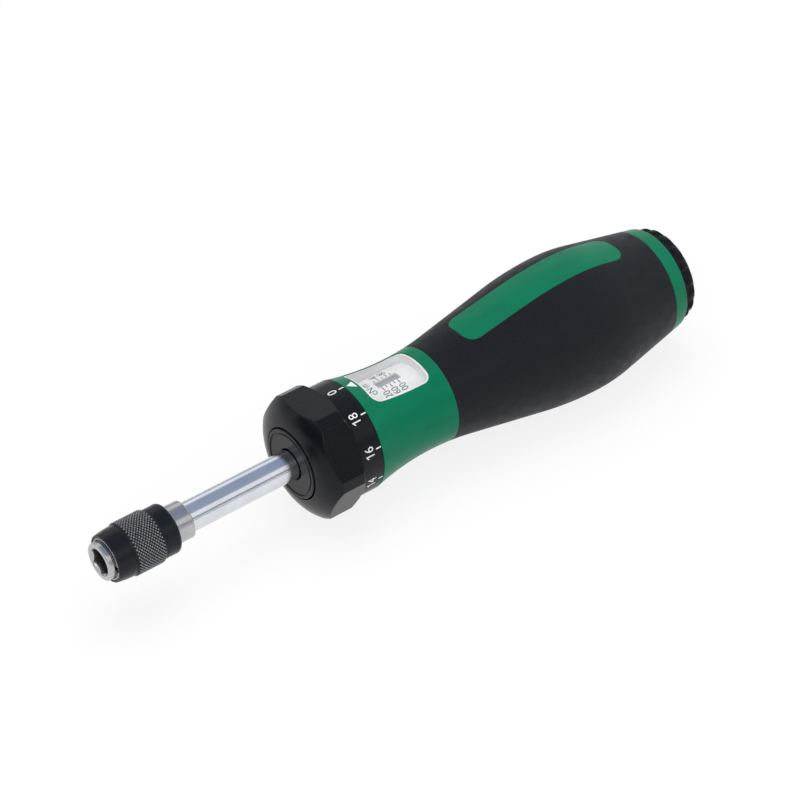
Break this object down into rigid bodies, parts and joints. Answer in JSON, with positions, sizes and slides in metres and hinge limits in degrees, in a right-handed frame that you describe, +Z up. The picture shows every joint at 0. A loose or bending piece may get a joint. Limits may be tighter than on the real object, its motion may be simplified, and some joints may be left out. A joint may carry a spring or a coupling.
{
  "type": "torque screwdriver",
  "caption": "Preset torque screwdriver: knob-set dial, scale window, ball clutch and quick-release hexagon bit chuck on a two-tone soft-grip handle.",
  "frame": {"origin": "centre of the hexagon bit socket's mouth, on the chuck's front face", "axes": "+X along the tool's axis from the bit socket to the end cap, +Z up through the handle's index line and the middle of the scale window with the tool lying on its knob and grip"},
  "size_m": [0.1812, 0.0386, 0.0386],
  "materials": {
    "green_plastic": "satin moulded green",
    "grip_rubber": "fine matte grain, soft overmould",
    "bright_steel": "turned",
    "white_plastic": "smooth white with a printed scale",
    "clear_lens": "clear moulded plastic",
    "bronze": "sintered bronze",
    "spring_steel": "drawn wire",
    "hard_steel": "ground and hardened",
    "black_knob": "semi-gloss black",
    "black_dial": "semi-gloss black with white figures",
    "indicator_grey": "satin",
    "satin_steel": "fine turned",
    "chrome_shaft": "polished chrome",
    "black_oxide": "black oxide, diamond knurled",
    "black_cap": "satin black"
  },
  "bodies": {
    "handle": {"handle_core": "green_plastic", "grip_sleeve": "grip_rubber", "barrel_tube": "bright_steel", "scale_plate": "white_plastic", "window_lens": "clear_lens", "thrust_washer": "bronze", "main_spring": "spring_steel", "pressure_plate": "hard_steel", "clutch_balls": "hard_steel", "clutch_washer": "bronze", "rear_plug": "bright_steel", "rear_bush": "bronze", "cap_screw": "bright_steel"},
    "adjuster": {"adjuster_knob": "black_knob", "knob_front_cap": "black_knob", "front_bush": "bronze", "dial_ring": "black_dial", "adjuster_screw": "bright_steel"},
    "follower": {"spring_follower": "indicator_grey", "torque_indicator": "indicator_grey"},
    "spindle": {"chuck_body": "satin_steel", "output_shaft": "chrome_shaft", "sleeve_snap_ring": "spring_steel", "sleeve_spring": "spring_steel", "cam_disc": "hard_steel", "cam_pin": "hard_steel"},
    "sleeve": {"release_sleeve": "black_oxide"},
    "ball": {"retaining_ball": "hard_steel"},
    "cap": {"end_cap": "black_cap", "cap_cover": "black_cap"}
  },
  "joints": [
    {"name": "dial_turn", "type": "hinge", "parent": "handle", "child": "adjuster", "pos_m": [0.07, 0, 0], "axis": [1, 0, 0], "range_deg": [0, 1800]},
    {"name": "follower_travel", "type": "slide", "parent": "handle", "child": "follower", "axis": [1, 0, 0], "range_m": [0, 0.00626], "deforming": ["main_spring"]},
    {"name": "spindle_spin", "type": "hinge", "parent": "handle", "child": "spindle", "pos_m": [0.1, 0, 0], "axis": [1, 0, 0], "continuous": true},
    {"name": "sleeve_slide", "type": "slide", "parent": "spindle", "child": "sleeve", "axis": [1, 0, 0], "range_m": [0, 0.003], "stiffness_N_per_m": 300, "springref_m": -0.004, "deforming": ["sleeve_spring"]},
    {"name": "ball_travel", "type": "slide", "parent": "spindle", "child": "ball", "axis": [0, 1, 0], "range_m": [0, 0.00066]},
    {"name": "cap_swivel", "type": "hinge", "parent": "handle", "child": "cap", "pos_m": [0.179, 0, 0], "axis": [1, 0, 0], "continuous": true}
  ],
  "couplings": [
    {"joint": "follower_travel", "follows": "dial_turn", "m_per_rad": 0.00019894},
    {"joint": "ball_travel", "follows": "sleeve_slide", "ratio": 0.21667}
  ]
}
